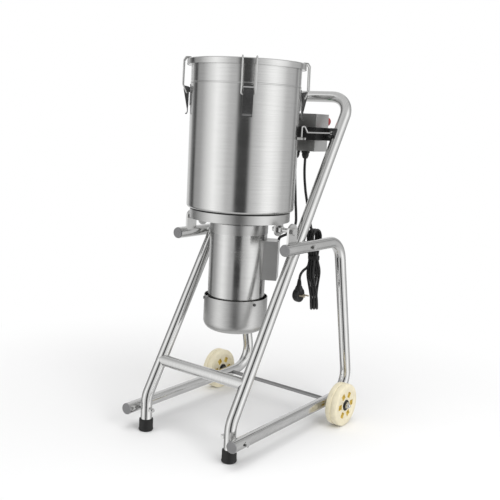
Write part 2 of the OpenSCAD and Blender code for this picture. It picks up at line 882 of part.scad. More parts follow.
module start_button() {
  color("green") button(1);
}

// Glands under the control box for the mains cord and the motor lead
module cable_glands() {
  color("#181818") for (x = [mains_gland_x, lead_gland_x]) translate([x, gland_y, 0]) {
    translate([0, 0, box_z0 - 6]) cylinder(h = 6, d = 22 / cos(30), $fn = 6);
    translate([0, 0, box_z0]) cylinder(h = 8, d = 12 - 0.2);
    translate([0, 0, gland_z]) cylinder(h = box_z0 - 6 - gland_z, r1 = 6, r2 = 10.5);
  }
}

// --- Tilt lock -------------------------------------------------------------

// Black saddle clamp on the front of the right leg tube with an ear for the hook
module hook_clamp() {
  d = [0, sin(leg_lean), cos(leg_lean)];
  color("#202020") difference() {
    union() {
      along([leg_x, clamp_y, hook_z] - 12 * d, d) cylinder(h = 24, r = clamp_r);
      translate([hook_x - 5, hook_pin_y, hook_z - 6]) cube([3, clamp_y - hook_pin_y, 12]);
      translate([hook_x + 3, hook_pin_y, hook_z - 6]) cube([3, clamp_y - hook_pin_y, 12]);
      rod_x(hook_x - 5, hook_x - 2, hook_pin_y, hook_z, 12);
      rod_x(hook_x + 3, hook_x + 6, hook_pin_y, hook_z, 12);
    }
    along([leg_x, clamp_y, hook_z] - 60 * d, d) {
      cylinder(h = 120, r = tube_r);
      translate([-40, -60, 0]) cube([80, 62, 120]);
    }
  }
}

// Bent rod that drops into the catch; its eye turns on the clamp
module lock_hook() {
  color("gainsboro") difference() {
    union() {
      rod_x(hook_x - 1.8, hook_x + 2.8, hook_pin_y, hook_z, 10);
      bent_wire([
        [hook_x + 0.5, hook_pin_y - 3, hook_z], [hook_x + 0.5, catch_y + 28, hook_z],
        [hook_x + 0.5, catch_y + 14, hook_top_z], [hook_x + 0.5, catch_y, hook_top_z],
        [hook_x + 0.5, catch_y, catch_z + 1]
      ], 4, hook_d);
    }
    rod_x(hook_x - 10, hook_x + 10, hook_pin_y, hook_z, 5 + 2 * fit);
  }
}

// Two fingers welded on the barrel, with the slot between them that the hook drops in
module hook_catch() {
  color("silver") difference() {
    for (y = [catch_y - 3 - 7, catch_y + 6]) translate([barrel_r - 36, y, catch_z - 6])
      cube([39, 7, 6]);
    on_axis() translate([0, 0, hook_z - 60]) cylinder(h = 100, r = barrel_r + 0.3);
  }
}

// --- Cords -----------------------------------------------------------------

module mains_cord() {
  color("#151515") {
    cord(mains_route, cord_d);
    cord(tail_route, cord_d);
  }
}

// Folded and tied bundle of spare cord, hanging behind the right top rail
module cord_hank() {
  d = unit(hank_top - hank_bottom);
  run = norm(hank_top - hank_bottom) - hank_w;
  color("#151515") along(hank_bottom + d * hank_w / 2, d) rotate([0, -90, 0])
    translate([0, 0, -hank_t / 2]) linear_extrude(hank_t) {
      translate([0, -hank_w / 2]) square([run, hank_w]);
      circle(d = hank_w);
      translate([run, 0]) circle(d = hank_w);
    }
}

// Angled two-pin plug on the end of the cord
module plug() {
  color("#151515") translate(plug_top) {
    translate([0, 0, -30]) cylinder(h = 30, r1 = 9, r2 = 4.8);
    rod_x(-14, 7, 3, -45, 41);
    for (y = [-6.5, 12.5]) rod_x(7, 26, y, -45, 4.8);
  }
}

module motor_lead() {
  color("#151515") cord(lead_route, cord_d);
}

handle_frame();
front_crossbar();
side_frame_right();
side_frame_left();
tube_caps();
rubber_feet();
frame_bolts();
frame_nuts();
frame_spacers();
axle();
axle_nuts();
wheel_right();
wheel_left();
hub_right();
hub_left();
pivot_lugs();
pivot_bolts();
pivot_nuts();
support_ring();
standoffs();
barrel();
seat_gasket();
lid();
lid_gasket();
latch_bases();
latch_pins();
lever_front_right();
lever_rear_right();
lever_rear_left();
lever_front_left();
bail_front_right();
bail_rear_right();
bail_rear_left();
bail_front_left();
shaft_seal();
motor_collar();
motor_shell();
stator();
motor_bearings();
rotor_shaft();
blade_set();
blade_nut();
cooling_fan();
fan_cover();
cover_screws();
terminal_box();
terminal_cover();
control_box();
control_cover();
box_strap();
stop_button();
start_button();
cable_glands();
lock_hook();
hook_clamp();
hook_catch();
mains_cord();
cord_hank();
plug();
motor_lead();
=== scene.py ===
from math import cos, pi, radians, sin, tan

import bpy
from mathutils import Matrix, Vector


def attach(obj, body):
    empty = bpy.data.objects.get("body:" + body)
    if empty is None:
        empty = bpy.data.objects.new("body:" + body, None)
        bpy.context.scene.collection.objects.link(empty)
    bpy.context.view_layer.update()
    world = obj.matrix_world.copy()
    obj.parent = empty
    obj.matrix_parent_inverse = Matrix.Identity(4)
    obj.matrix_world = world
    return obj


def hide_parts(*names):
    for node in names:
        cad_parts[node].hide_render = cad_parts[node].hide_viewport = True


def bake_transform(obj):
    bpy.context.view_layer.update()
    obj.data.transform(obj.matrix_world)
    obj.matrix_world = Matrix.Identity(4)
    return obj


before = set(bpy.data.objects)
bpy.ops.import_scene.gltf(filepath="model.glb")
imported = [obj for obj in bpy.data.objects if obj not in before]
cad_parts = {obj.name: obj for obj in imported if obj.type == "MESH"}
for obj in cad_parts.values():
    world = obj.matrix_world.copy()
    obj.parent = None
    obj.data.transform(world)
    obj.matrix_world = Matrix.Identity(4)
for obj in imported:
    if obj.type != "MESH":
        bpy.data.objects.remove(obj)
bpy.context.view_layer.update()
mm = 0.001

# --- Camera -----------------------------------------------------------------
# A standing buyer's view from the front right, with the camera tipped slightly to one side.
bpy.ops.object.select_all(action="DESELECT")
bpy.ops.object.camera_add(location=(1.27045, -1.72274, 0.86862))
camera = bpy.context.object
camera.name = "camera"
view_azimuth = radians(36.38)
view_elevation = radians(9.57)
view_roll = radians(2.95)
back = Vector((
    sin(view_azimuth) * cos(view_elevation),
    -cos(view_azimuth) * cos(view_elevation),
    sin(view_elevation),
))
level = Vector((cos(view_azimuth), sin(view_azimuth), 0))
right = level * cos(view_roll) + back.cross(level) * sin(view_roll)
camera.rotation_euler = Matrix((right, back.cross(right), back)).transposed().to_euler()
camera.data.lens = 55.02
camera.data.sensor_width = 36
bpy.context.scene.camera = camera


# --- Mains cord ---------------------------------------------------------------
# A round three-core mains lead, 2 m long, in black PVC. It hangs from its gland under the
# control box, is folded into a hank of three turns, and ends in an angled plug.
def linear(shade):
    """The linear colour, with alpha, of an sRGB hex value."""
    parts = [int(shade[k:k + 2], 16) / 255 for k in (1, 3, 5)]
    return (*[p / 12.92 if p <= 0.04045 else ((p + 0.055) / 1.055) ** 2.4 for p in parts], 1)


def add(tree, kind, settings=None, inputs=None):
    """One new node with its settings; an input is a value, or (node, output) for a link."""
    new = tree.nodes.new(kind)
    for key, value in (settings or {}).items():
        setattr(new, key, value)
    for key, value in (inputs or {}).items():
        if isinstance(value, tuple) and isinstance(value[0], bpy.types.Node):
            tree.links.new(value[0].outputs[value[1]], new.inputs[key])
        else:
            new.inputs[key].default_value = value
    return new


def moulded(name, shade, roughness, grain_mm, relief, coat=0.0):
    """A moulded rubber or plastic: one colour with faint clouds, and the grain of its mould."""
    material = bpy.data.materials.new(name)
    material.use_nodes = True
    tree = material.node_tree
    tree.nodes.clear()
    place = add(tree, "ShaderNodeTexCoord")
    clouds = add(tree, "ShaderNodeTexNoise", None, {
        "Vector": (place, "Object"), "Scale": 1 / (grain_mm * 30 * mm), "Detail": 3.0,
    })
    colour = linear(shade)
    tone = add(tree, "ShaderNodeValToRGB", None, {"Fac": (clouds, "Fac")})
    tone.color_ramp.elements[0].position = 0.3
    tone.color_ramp.elements[1].position = 0.7
    tone.color_ramp.elements[0].color = (*[c * 0.95 for c in colour[:3]], 1)
    tone.color_ramp.elements[1].color = (*[min(1, c * 1.04) for c in colour[:3]], 1)
    grain = add(tree, "ShaderNodeTexNoise", None, {
        "Vector": (place, "Object"), "Scale": 1 / (grain_mm * mm), "Detail": 2.0,
    })
    bump = add(tree, "ShaderNodeBump", None, {
        "Height": (grain, "Fac"), "Strength": relief, "Distance": grain_mm * mm * 0.3,
    })
    gloss = add(tree, "ShaderNodeMapRange", None, {
        "Value": (grain, "Fac"), "To Min": roughness - 0.06, "To Max": roughness + 0.08,
    })
    shader = add(tree, "ShaderNodeBsdfPrincipled", None, {
        "Base Color": (tone, "Color"), "Roughness": (gloss, "Result"),
        "Normal": (bump, "Normal"), "IOR": 1.5, "Coat Weight": coat,
    })
    add(tree, "ShaderNodeOutputMaterial", None, {"Surface": (shader, "BSDF")})
    return material


def pick(piece):
    """Selects one piece alone and makes it the active one."""
    bpy.ops.object.select_all(action="DESELECT")
    piece.select_set(True)
    bpy.context.view_layer.objects.active = piece


def curved_through(points, steps):
    """Points in metres on a smooth curve through given points in millimetres."""
    p = [Vector(q) * mm for q in points]
    p = [2 * p[0] - p[1], *p, 2 * p[-1] - p[-2]]
    line = []
    for a, b, c, d in zip(p, p[1:], p[2:], p[3:]):
        for k in range(steps):
            t = k / steps
            line.append(0.5 * (
                2 * b + (c - a) * t + (2 * a - 5 * b + 4 * c - d) * t * t
                + (3 * b - a - 3 * c + d) * t ** 3
            ))
    return line + [p[-2]]


def round_bar(name, line, diameter, sides=16):
    """A curve of one open spline along a line of points, drawn as a round bar."""
    data = bpy.data.curves.new(name, "CURVE")
    data.dimensions = "3D"
    spline = data.splines.new("POLY")
    spline.points.add(len(line) - 1)
    for point, place in zip(spline.points, line):
        point.co = (*place, 1)
    data.bevel_depth = diameter / 2
    data.bevel_resolution = sides // 4 - 1
    data.use_fill_caps = True
    bar = bpy.data.objects.new(name, data)
    bpy.context.scene.collection.objects.link(bar)
    return bar


cord_d = 7.5
mains_route = [
    (66, 158, 770), (66, 158, 755), (67.5, 156, 740), (71.5, 151.5, 724), (77.5, 145, 708),
    (84.5, 138, 693), (92, 130.5, 678), (100, 123.5, 664), (108, 116.5, 650),
    (115.5, 110, 636), (123, 103.5, 623), (130, 97.5, 610.5), (137, 92, 599),
    (144, 87, 588), (150, 83, 576.5), (154.5, 80, 564), (157, 78, 551), (158, 77.5, 540),
]
tail_route = [
    (140.5, 99.2, 481), (140, 93.5, 472.4), (139.2, 86, 466.5), (138.7, 80, 464),
    (138, 74, 461.5), (137, 66, 455.5), (136.3, 60.5, 447.5), (136, 58.5, 437),
]
hank_top = Vector((146.5, 98, 580))
hank_bottom = Vector((158.5, 112, 345))
fold_r = 22.6  # of the end loops, along the middle of the cord
fold_from = 26.4  # from the end of the hank to where a loop begins
hank_run = (hank_bottom - hank_top).length
down = (hank_bottom - hank_top) / hank_run
across = (Vector((0, 1, 0)) - down.y * down).normalized()
through = across.cross(down)
tie_at = 83  # from the top of the hank
tie_pinch = 18.1
tied_half = fold_r - tie_pinch
hank_turns = 3
layer = 7.8  # from one turn to the next
first_layer = 11.7
hank_twist = radians(36)


def twisted(s, u, v):
    """A place in the hank: s down from its top, u across it and v through it. Below the tie
    the bundle turns slowly about its own axis."""
    low = min(1, max(0, (s - tie_at) / (hank_run - fold_from - tie_at)))
    twist = Matrix.Rotation(-hank_twist * low * low * (3 - 2 * low), 3, down)
    return hank_top + down * s + twist @ (across * u + through * v)


def in_hank(s, side, turn):
    """A point of a straight run: side -1 is the front run and 1 the rear one."""
    near = min(1, abs(s - tie_at) / (tie_at - fold_from))
    half = fold_r - tie_pinch * (1 + cos(pi * near)) / 2
    return twisted(s, side * half, first_layer - layer * turn)


# Each quarter of a turn moves on by a quarter of a layer through the hank.
hank = []
run_steps = 12
fold_steps = 10
route_ends_at = 46  # from the top of the hank
low_fold = hank_run - fold_from
for turn in range(hank_turns):
    first = route_ends_at if turn == 0 else fold_from
    for k in range(run_steps):
        s = first + (low_fold - first) * k / run_steps
        hank.append(in_hank(s, -1, turn + 0.25 * k / run_steps))
    for k in range(fold_steps):
        a = pi * k / fold_steps
        t = first_layer - layer * (turn + 0.25 + 0.25 * k / fold_steps)
        hank.append(twisted(low_fold + fold_r * sin(a), -fold_r * cos(a), t))
    for k in range(run_steps):
        s = low_fold + (fold_from - low_fold) * k / run_steps
        hank.append(in_hank(s, 1, turn + 0.5 + 0.25 * k / run_steps))
    for k in range(fold_steps):
        a = pi * k / fold_steps
        t = first_layer - layer * (turn + 0.75 + 0.25 * k / fold_steps)
        hank.append(twisted(fold_from - fold_r * sin(a), fold_r * cos(a), t))
for s in (fold_from, 36, 48, 60, 72, tie_at):
    hank.append(in_hank(s, -1, hank_turns))

mains_line = curved_through([*mains_route, *hank, *tail_route], 4)
mains_cord = round_bar("mains_lead", mains_line, cord_d * mm)
cord_pvc = moulded("black_pvc_sheath", "#141414", 0.4, 0.6, 0.15)
mains_cord.data.materials.append(cord_pvc)
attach(mains_cord, "trolley")
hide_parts("mains_cord", "cord_hank")


# --- Plug ---------------------------------------------------------------------
# An angled two-pin earthed plug, moulded in black PVC round brass pins. The disc body is
# domed at the back, and a ribbed strain relief takes the lead in from above.
def turned(name, outline, steps=48):
    """A piece turned about Z: a point is extruded along (radius, height) in mm, then spun."""
    bpy.ops.object.select_all(action="DESELECT")
    bpy.ops.mesh.primitive_plane_add(size=0.001)
    piece = bpy.context.object
    piece.name = name
    piece.data.name = name
    bpy.ops.object.mode_set(mode="EDIT")
    bpy.ops.mesh.merge(type="CENTER")
    bpy.ops.transform.translate(value=(outline[0][0] * mm, 0, outline[0][1] * mm))
    for a, b in zip(outline, outline[1:]):
        step = ((b[0] - a[0]) * mm, 0, (b[1] - a[1]) * mm)
        bpy.ops.mesh.extrude_region_move(TRANSFORM_OT_translate={"value": step})
    bpy.ops.mesh.select_all(action="SELECT")
    bpy.ops.mesh.spin(steps=steps, angle=2 * pi, center=(0, 0, 0), axis=(0, 0, 1))
    bpy.ops.mesh.select_all(action="SELECT")
    bpy.ops.mesh.remove_doubles(threshold=1e-6)
    bpy.ops.mesh.normals_make_consistent(inside=False)
    bpy.ops.object.mode_set(mode="OBJECT")
    return piece


def settle(piece, at=(0, 0, 0), turned_by=(0, 0, 0)):
    """Turns a piece about its origin by degrees, moves it, in mm, and fixes both in its mesh."""
    pick(piece)
    piece.rotation_euler = [radians(a) for a in turned_by]
    piece.location = Vector(at) * mm
    bpy.ops.object.transform_apply(location=True, rotation=True, scale=True)
    return piece


def soften(piece, width, segments=2):
    """Breaks the sharp edges with a bevel in mm, and shades the rest smooth."""
    pick(piece)
    bevel = piece.modifiers.new("edges", "BEVEL")
    bevel.width = width * mm
    bevel.segments = segments
    bevel.limit_method = "ANGLE"
    bevel.angle_limit = radians(30)
    bevel.use_clamp_overlap = True
    bpy.ops.object.modifier_apply(modifier=bevel.name)
    bpy.ops.object.shade_smooth_by_angle(angle=radians(35))
    return piece


def joined(*parts):
    """Joins parts into the first one, which keeps its name."""
    bpy.ops.object.select_all(action="DESELECT")
    for part in parts:
        part.select_set(True)
    bpy.context.view_layer.objects.active = parts[0]
    bpy.ops.object.join()
    return parts[0]


plug_x, plug_y, plug_z = tail_route[-1]
plug_drop = 45  # from the end of the cord to the middle of the plug
plug_body = turned("plug_body", [
    (0, -14), (12, -14), (17, -12.2), (19.5, -8.5), (20.5, -4), (20.5, 3.5), (19.8, 5.6),
    (17.5, 7), (0, 7),
])
settle(plug_body, (plug_x, plug_y + 3, plug_z - plug_drop), (0, 90, 0))
ribs = [(0, 0), (4.6, 0)]
rib_pitch, rib_flare = 2.8, 0.45
for k in range(6):
    z, wider = -rib_pitch * k, rib_flare * k
    ribs += [(5 + wider, z - 0.4), (5 + wider, z - 1.7),
             (4.3 + wider, z - 2.1), (4.3 + wider, z - rib_pitch)]
relief = turned("relief", [*ribs, (9, -20), (11.5, -27), (12, -33), (0, -35)])
settle(relief, (plug_x, plug_y, plug_z))
for part in (plug_body, relief):
    soften(part, 0.3)
    part.data.materials.append(moulded("black_moulded_plug", "#161616", 0.46, 0.8, 0.25))
pins = []
for y in (-6.5, 12.5):
    pin = turned("pin", [(0, 7), (2.4, 7), (2.4, 24.8), (1.6, 26), (0, 26)], 20)
    settle(pin, (plug_x, plug_y + y, plug_z - plug_drop), (0, 90, 0))
    soften(pin, 0.2)
    pins.append(pin)
plug = joined(plug_body, relief)
plug.name = "angled_plug"
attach(plug, "trolley")
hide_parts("plug")
plug_pins = joined(*pins)
plug_pins.name = "plug_pins"
plug_pins.data.materials.append(
    moulded("nickel_plated_brass", "#A9A08C", 0.3, 0.3, 0.05)
)
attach(plug_pins, "trolley")


# --- Cord tie -----------------------------------------------------------------
# A soft black strap 11 mm wide, pulled tight round the hank below its upper loops.
tie_h = 11
tie_gap = 1.4
bpy.ops.object.select_all(action="DESELECT")
bpy.ops.mesh.primitive_cylinder_add(
    vertices=48, radius=1, depth=1, end_fill_type="NOTHING",
    location=(hank_top + down * tie_at) * mm,
)
tie = bpy.context.object
tie.name = "cord_tie"
tie.scale = (
    (first_layer + cord_d / 2 + tie_gap) * mm,
    (tied_half + cord_d / 2 + tie_gap) * mm,
    tie_h * mm,
)
bpy.ops.object.transform_apply(location=True, rotation=True, scale=True)
thick = tie.modifiers.new("thick", "SOLIDIFY")
thick.thickness = 1.2 * mm
thick.offset = 1
bpy.ops.object.modifier_apply(modifier="thick")
soften(tie, 0.4)
tie.data.materials.append(moulded("black_tie", "#101010", 0.5, 0.4, 0.1))
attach(tie, "trolley")


# --- Steel finishes -----------------------------------------------------------
# Stainless steel, brushed lengthwise or round the part, then polished; each finish has its
# own roughness, depth of brushing and shade.
def steel(name, shade, roughness, lines, depth=0.1, cloudy=0.06):
    """Brushed metal. Lines is how many brush lines there are per mm along X, Y and Z."""
    material = bpy.data.materials.new(name)
    material.use_nodes = True
    tree = material.node_tree
    tree.nodes.clear()
    place = add(tree, "ShaderNodeTexCoord")
    spread = add(tree, "ShaderNodeMapping", None, {
        "Vector": (place, "Object"), "Scale": [n / mm for n in lines],
    })
    brushing = add(tree, "ShaderNodeTexNoise", None, {
        "Vector": (spread, "Vector"), "Scale": 1.0, "Detail": 4.0, "Roughness": 0.6,
    })
    clouds = add(tree, "ShaderNodeTexNoise", None, {
        "Vector": (place, "Object"), "Scale": 1 / (45 * mm), "Detail": 4.0,
    })
    handled = add(tree, "ShaderNodeMapRange", None, {
        "Value": (clouds, "Fac"), "From Min": 0.3, "From Max": 0.7,
        "To Min": roughness - cloudy / 2, "To Max": roughness + cloudy / 2,
    })
    streaks = add(tree, "ShaderNodeMath", {"operation": "MULTIPLY_ADD"}, {
        0: (brushing, "Fac"), 1: cloudy, 2: (handled, "Result"),
    })
    tone = add(tree, "ShaderNodeValToRGB", None, {"Fac": (brushing, "Fac")})
    colour = linear(shade)
    tone.color_ramp.elements[0].position = 0.3
    tone.color_ramp.elements[1].position = 0.7
    tone.color_ramp.elements[0].color = (*[c * 0.9 for c in colour[:3]], 1)
    tone.color_ramp.elements[1].color = (*[min(1, c * 1.05) for c in colour[:3]], 1)
    bump = add(tree, "ShaderNodeBump", None, {
        "Height": (brushing, "Fac"), "Strength": depth, "Distance": 0.05 * mm,
    })
    shader = add(tree, "ShaderNodeBsdfPrincipled", None, {
        "Base Color": (tone, "Color"), "Metallic": 1.0, "Roughness": (streaks, "Value"),
        "Normal": (bump, "Normal"),
    })
    add(tree, "ShaderNodeOutputMaterial", None, {"Surface": (shader, "BSDF")})
    return material


def finish(material, *names):
    """Gives CAD nodes a procedural material."""
    for name in names:
        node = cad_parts[name]
        for own in node.material_slots:
            own.material = material
        if not node.material_slots:
            node.data.materials.append(material)


def broken_edges(width, *names):
    """Breaks the sharp edges of CAD nodes by a width in mm."""
    for name in names:
        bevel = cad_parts[name].modifiers.new("edges", "BEVEL")
        bevel.width = width * mm
        bevel.segments = 2
        bevel.limit_method = "ANGLE"
        bevel.angle_limit = radians(40)


polished = steel("polished_stainless_round", "#CDCDCC", 0.13, (0.01, 0.01, 1.6), 0.12)
tube_polish = steel("polished_stainless_tube", "#D2D2D1", 0.11, (0.5, 0.02, 0.02), 0.08)
satin = steel("satin_stainless", "#C6C6C5", 0.3, (0.03, 0.03, 2.2), 0.3)
bright = steel("bright_stainless_fastener", "#D6D6D5", 0.16, (0.6, 0.6, 0.6), 0.08)
ground = steel("ground_blade_steel", "#C4C5C6", 0.2, (1.5, 0.1, 0.1), 0.25)
turned_steel = steel("turned_shaft_steel", "#AFAFB0", 0.24, (0.05, 0.05, 3.0), 0.3)

dark_lacquer = moulded("black_lacquer", "#262626", 0.34, 0.5, 0.06)
rubber = moulded("black_rubber", "#161616", 0.62, 0.8, 0.3)
black_nylon = moulded("black_glass_nylon", "#1D1D1D", 0.45, 0.5, 0.2)
cap_grey = moulded("grey_polyethylene", "#7C7C7D", 0.42, 0.6, 0.15)
white_silicone = moulded("white_silicone", "#D8D8D4", 0.5, 0.8, 0.1)
enamel_wire = moulded("varnished_copper", "#8A4A22", 0.35, 0.6, 0.6)
blackened = moulded("blackened_screw", "#3A3A3A", 0.38, 0.3, 0.15)
red = moulded("red_moulded_button", "#A8131A", 0.32, 0.5, 0.05, coat=0.3)
green = moulded("green_moulded_button", "#136B35", 0.32, 0.5, 0.05, coat=0.3)


# --- Trolley tubes ------------------------------------------------------------
# Round stainless tube, 32 mm across with a 2 mm wall, bent cold on a mandrel and polished.
# The side frames and the handle hoop are bolted through; the crossbar is welded in.
def bent(points, radius, step=5):
    """A line of straight runs in mm joined by arcs of one radius, as points in metres."""
    p = [Vector(q) * mm for q in points]
    line = [p[0]]
    for a, b, c in zip(p, p[1:], p[2:]):
        u = (a - b).normalized()
        v = (c - b).normalized()
        angle = u.angle(v)
        bend = pi - angle
        reach = radius * mm / tan(angle / 2)
        centre = b + (u + v).normalized() * radius * mm / sin(angle / 2)
        from_centre = b + u * reach - centre
        axis = from_centre.cross(b + v * reach - centre).normalized()
        count = max(2, round(bend / radians(step)))
        for k in range(count + 1):
            line.append(centre + Matrix.Rotation(bend * k / count, 3, axis) @ from_centre)
    line.append(p[-1])
    return line


tube_d = 32
tube_bend = 65
tube_sides = 48
leg_x, foot_y, leg_bend_z, leg_lean = 149, -245, 98, radians(30.5)
handle_z = 951


def leg_y(z):
    """Where the middle of a leg is along Y at a height, in mm."""
    return foot_y + (z - leg_bend_z) * tan(leg_lean)


hoop_line = bent([
    (leg_x, foot_y, 6), (leg_x, foot_y, leg_bend_z), (leg_x, leg_y(handle_z), handle_z),
    (-leg_x, leg_y(handle_z), handle_z), (-leg_x, foot_y, leg_bend_z), (-leg_x, foot_y, 6),
], tube_bend)
hoop = round_bar("handle_hoop", hoop_line, tube_d * mm, tube_sides)
hoop.data.materials.append(tube_polish)
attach(hoop, "trolley")
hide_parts("handle_frame")
side_x = 186
rail_z, top_rail_z = 62.5, 542
for side, word in ((1, "right"), (-1, "left")):
    side_line = bent([
        (side * side_x, -285, rail_z), (side * side_x, 288, rail_z),
        (side * side_x, 180, top_rail_z), (side * side_x, -98.3, top_rail_z),
    ], tube_bend)
    rail = round_bar(f"side_tube_{word}", side_line, tube_d * mm, tube_sides)
    rail.data.materials.append(tube_polish)
    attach(rail, "trolley")
    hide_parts(f"side_frame_{word}")
finish(tube_polish, "front_crossbar", "pivot_lugs")
broken_edges(0.6, "pivot_lugs")


# --- Caps and feet ------------------------------------------------------------
# Grey plastic plugs tapped into the tube ends, and black rubber boots pushed over the leg
# ends with a wider sole.
finish(cap_grey, "tube_caps")
broken_edges(1.0, "tube_caps")
for side, word in ((1, "right"), (-1, "left")):
    boot = turned(f"boot_{word}", [
        (0, 0), (17.5, 0), (18.8, 0.6), (20.2, 3), (20.5, 5), (20.1, 6.2), (19.5, 7), (19.5, 31),
        (19.1, 33), (18.2, 34), (16.05, 34), (16.05, 8), (0, 8),
    ], 64)
    settle(boot, (side * leg_x, foot_y, 0))
    soften(boot, 0.4)
    boot.data.materials.append(rubber)
    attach(boot, "trolley")
    if side == 1:
        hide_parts("rubber_feet")


# --- Frame bolts and axle -----------------------------------------------------
# Stainless M8 hexagon bolts through both tubes, with spacer sleeves and nuts, and a 12 mm
# axle rod with a domed nut at each wheel.
finish(bright, "frame_bolts", "frame_nuts", "frame_spacers", "axle_nuts")
axle_steel = steel("drawn_axle_bar", "#8B8B8B", 0.3, (0.05, 1.0, 1.0), 0.2)
finish(axle_steel, "axle")
broken_edges(0.5, "frame_bolts", "frame_nuts", "frame_spacers", "axle", "axle_nuts")
pivot_steel = steel("satin_pivot_bolt", "#D8D8D7", 0.34, (0.3, 0.3, 0.3), 0.1)
finish(pivot_steel, "pivot_bolts", "pivot_nuts")
broken_edges(0.7, "pivot_bolts", "pivot_nuts")


# --- Wheels -------------------------------------------------------------------
# Cream nylon wheels moulded in one piece, 125 mm across and 36 mm wide, with a groove round
# the tread and six pockets round a black pressed-in hub.
cream = moulded("cream_nylon", "#E9E0C4", 0.42, 0.5, 0.05)
wheel_x, axle_y, axle_z = 232, 177, 62.5
pocket_r = 31.5
# The pocket faces take a darker amber colour: painted shade in the recesses of the cream wheel.
painted_pocket_shade = moulded("cream_nylon_painted_pocket_shade", "#DCC468", 0.45, 0.5, 0.05)
for side, word in ((1, "right"), (-1, "left")):
    wheel = turned("nylon_wheel_" + word, [
        (16, -16), (43.5, -16), (45, -16.6), (47, -18), (58, -18), (60.8, -17), (62.5, -13.8),
        (62.5, -3), (61.6, -2.3), (60.6, -2), (60.6, 2), (61.6, 2.3), (62.5, 3), (62.5, 13.8),
        (60.8, 17), (58, 18), (47, 18), (45, 16.6), (43.5, 16), (16, 16), (16, -16),
    ], 96)
    pockets = []
    for face in (1, -1):
        for k in range(6):
            a = radians(60 * k + 30)
            bpy.ops.object.select_all(action="DESELECT")
            bpy.ops.mesh.primitive_cube_add(
                size=1, location=(pocket_r * mm * cos(a), pocket_r * mm * sin(a), face * 19 * mm),
                rotation=(0, 0, a), scale=(17 * mm, 16 * mm, 20 * mm),
            )
            pocket = bpy.context.object
            bpy.ops.object.transform_apply(location=True, rotation=True, scale=True)
            soften(pocket, 2, 3)
            pockets.append(pocket)
    cutter = joined(*pockets)
    cutter.data.materials.clear()
    cutter.data.materials.append(painted_pocket_shade)
    wheel.data.materials.append(cream)
    pick(wheel)
    cut = wheel.modifiers.new("pockets", "BOOLEAN")
    cut.operation = "DIFFERENCE"
    cut.solver = "EXACT"
    # The cut pocket faces keep the amber colour, the painted shade of the recesses.
    cut.material_mode = "TRANSFER"
    cut.object = cutter
    bpy.ops.object.modifier_apply(modifier="pockets")
    bpy.data.objects.remove(cutter)
    settle(wheel, (side * wheel_x, axle_y, axle_z), (0, 90, 0))
    soften(wheel, 0.35)
    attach(wheel, word + "_wheel")
    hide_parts("wheel_" + word)


# --- Hubs ---------------------------------------------------------------------
# Black glass-filled nylon bushes pressed in the wheels, dished on both faces, which run on
# the plain axle bar.
for side, word in ((1, "right"), (-1, "left")):
    bush = turned("hub_bush_" + word, [
        (6.1, -18.8), (9.4, -18.8), (10, -18.2), (10.6, -16.4), (15, -16.2), (16, -17.4),
        (16, 17.4), (15, 16.2), (10.6, 16.4), (10, 18.2), (9.4, 18.8), (6.1, 18.8), (6.1, -18.8),
    ], 64)
    settle(bush, (side * wheel_x, axle_y, axle_z), (0, 90, 0))
    soften(bush, 0.3)
    bush.data.materials.append(black_nylon)
    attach(bush, word + "_wheel")
    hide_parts("hub_" + word)


# --- Barrel and its ring ------------------------------------------------------
# Deep-drawn stainless sheet, 1.5 mm thick, with a swage under the rim and a flange at the
# top, brushed round and polished. It sits in a satin spun ring with a bolted deck.
finish(polished, "barrel", "lid", "latch_bases")
finish(satin, "support_ring", "standoffs")
broken_edges(0.5, "support_ring", "standoffs", "latch_bases")
finish(rubber, "seat_gasket")
finish(white_silicone, "lid_gasket")


# --- Latches ------------------------------------------------------------------
# Four toggle latches: a folded and polished stainless lever on a pin in two welded ears,
# with a bail of 4 mm wire hooked over the lid rim.
latches = ("front_right", "rear_right", "rear_left", "front_left")
first_latch = 39.5  # degrees round from the front
tilt_y = -54  # of the barrel's own axis
wire_d = 4
lever_steel = steel("polished_lever_steel", "#BDBDBD", 0.14, (0.05, 0.05, 1.2), 0.08)
for k, word in enumerate(latches):
    finish(lever_steel, "lever_" + word)
    broken_edges(1.3, "lever_" + word)
    a = radians(first_latch + 90 * k)

    def at(r, side, z, a=a):
        """A point at a radius, to one side and at a height, in mm, for this latch."""
        return (r * sin(a) + side * cos(a), tilt_y - r * cos(a) + side * sin(a), z)

    half = [(158, 10.5, 934), (158, 18, 934), (168.5, 18, 956), (167.5, 18, 1019),
            (162, 18, 1027.2), (150, 18, 1027.2), (137.5, 18, 1018.2)]
    bail_line = bent([
        *[at(r, -s, z) for r, s, z in half], *[at(r, s, z) for r, s, z in reversed(half)],
    ], 4, 15)
    bail = round_bar("wire_bail_" + word, bail_line, wire_d * mm, 24)
    bail.data.materials.append(bright)
    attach(bail, "bail_" + word + "_body")
    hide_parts("bail_" + word)
finish(bright, "latch_pins")


# --- Motor --------------------------------------------------------------------
# A rolled stainless shell with a satin collar over it, a deep pressed fan cover screwed on
# below, and a folded terminal box at the back.
shell_steel = steel("brushed_motor_shell", "#C6C6C5", 0.15, (0.01, 0.01, 1.1), 0.35, 0.12)
finish(shell_steel, "motor_shell")
cover_steel = steel("satin_pressed_cover", "#C2C2C1", 0.33, (0.05, 0.05, 0.6), 0.1)
finish(cover_steel, "fan_cover")
broken_edges(0.4, "fan_cover")
finish(satin, "motor_collar", "terminal_box", "terminal_cover")
broken_edges(0.6, "motor_collar", "terminal_box", "terminal_cover")
finish(blackened, "cover_screws")
broken_edges(0.6, "cover_screws")
finish(black_nylon, "cooling_fan", "shaft_seal")
finish(enamel_wire, "stator")
finish(turned_steel, "rotor_shaft", "motor_bearings")
finish(ground, "blade_set")
finish(bright, "blade_nut")


